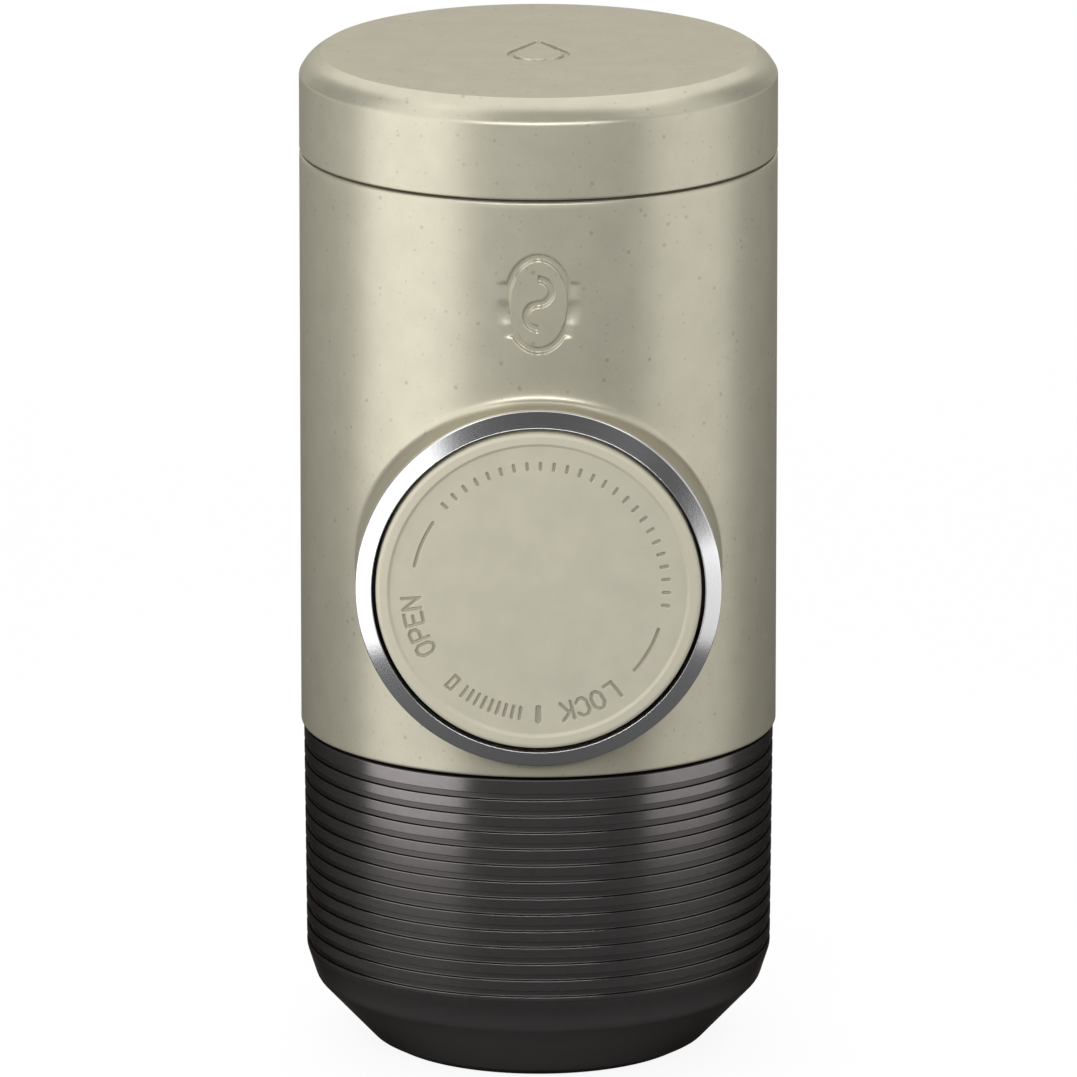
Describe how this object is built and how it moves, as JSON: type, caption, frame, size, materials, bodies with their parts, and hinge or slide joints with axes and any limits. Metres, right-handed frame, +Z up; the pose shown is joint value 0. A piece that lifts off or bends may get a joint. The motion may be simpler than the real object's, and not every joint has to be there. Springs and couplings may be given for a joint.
{
  "type": "handheld manual espresso maker",
  "caption": "Upright capsule espresso maker with a pull-and-press piston dial, a screw-on water tank above and a ribbed cup below.",
  "frame": {"origin": "centre of the cup's flat base, on the axis that the tank, body and cup share", "axes": "+Z up that axis, -Y out of the dial's face, +X to the right of someone who faces the dial"},
  "size_m": [0.062, 0.067, 0.132],
  "materials": {
    "shell_stone": "satin, pale grey-beige with fine dark specks",
    "cup_gloss": "glossy, dark grey-brown",
    "chrome": "polished",
    "dark_plastic": "moulded, matte",
    "pale_plastic": "moulded, satin",
    "smoke_plastic": "smooth, smoky",
    "rubber": "soft, matte",
    "steel": "stamped and turned"
  },
  "bodies": {
    "body": {"body_shell": "shell_stone", "chrome_ring": "chrome", "piston_housing": "dark_plastic", "spring_seat": "dark_plastic", "tank_socket": "dark_plastic", "tank_gasket": "rubber", "strainer": "steel", "air_valve": "rubber", "inlet_valve": "rubber", "outlet_valve": "rubber", "pump_cylinder": "pale_plastic", "pump_end_cap": "pale_plastic", "rod_bush": "pale_plastic", "brew_base": "dark_plastic", "frame_screws": "steel", "needle_plate": "steel", "capsule_bell": "dark_plastic", "capsule_seal": "rubber"},
    "piston": {"piston_rod": "steel", "piston_head": "pale_plastic", "piston_seal": "rubber", "spring_washer": "steel", "return_spring": "steel"},
    "knob": {"knob_dial": "shell_stone", "plunger": "dark_plastic", "rod_clip": "steel", "dial_screws": "steel"},
    "tank_ring": {"tank_seal": "rubber"},
    "tank": {"tank_cover": "shell_stone", "tank_vessel": "smoke_plastic"},
    "head_ring": {"head_seal": "rubber"},
    "outlet": {"outlet_head": "dark_plastic", "pyramid_plate": "steel", "outlet_nozzle": "rubber"},
    "cup_ring": {"cup_seal": "rubber"},
    "cup": {"cup": "cup_gloss"}
  },
  "joints": [
    {"name": "knob_press", "type": "slide", "parent": "body", "child": "piston", "axis": [0, -1, 0], "range_m": [0, 0.022], "deforming": ["return_spring"]},
    {"name": "knob_turn", "type": "hinge", "parent": "piston", "child": "knob", "pos_m": [0, 0, 0.069], "axis": [0, -1, 0], "range_deg": [0, 42]},
    {"name": "tank_lift", "type": "slide", "parent": "body", "child": "tank_ring", "axis": [0, 0, 1], "range_m": [0, 0.05]},
    {"name": "tank_turn", "type": "hinge", "parent": "tank_ring", "child": "tank", "pos_m": [0, 0, 0.119], "axis": [0, 0, 1], "range_deg": [0, 60]},
    {"name": "head_drop", "type": "slide", "parent": "body", "child": "head_ring", "axis": [0, 0, -1], "range_m": [0, 0.035]},
    {"name": "head_turn", "type": "hinge", "parent": "head_ring", "child": "outlet", "pos_m": [0, 0, 0.03], "axis": [0, 0, -1], "range_deg": [0, 60]},
    {"name": "cup_drop", "type": "slide", "parent": "outlet", "child": "cup_ring", "axis": [0, 0, -1], "range_m": [0, 0.05]},
    {"name": "cup_turn", "type": "hinge", "parent": "cup_ring", "child": "cup", "pos_m": [0, 0, 0.0425], "axis": [0, 0, -1], "range_deg": [0, 60]}
  ]
}
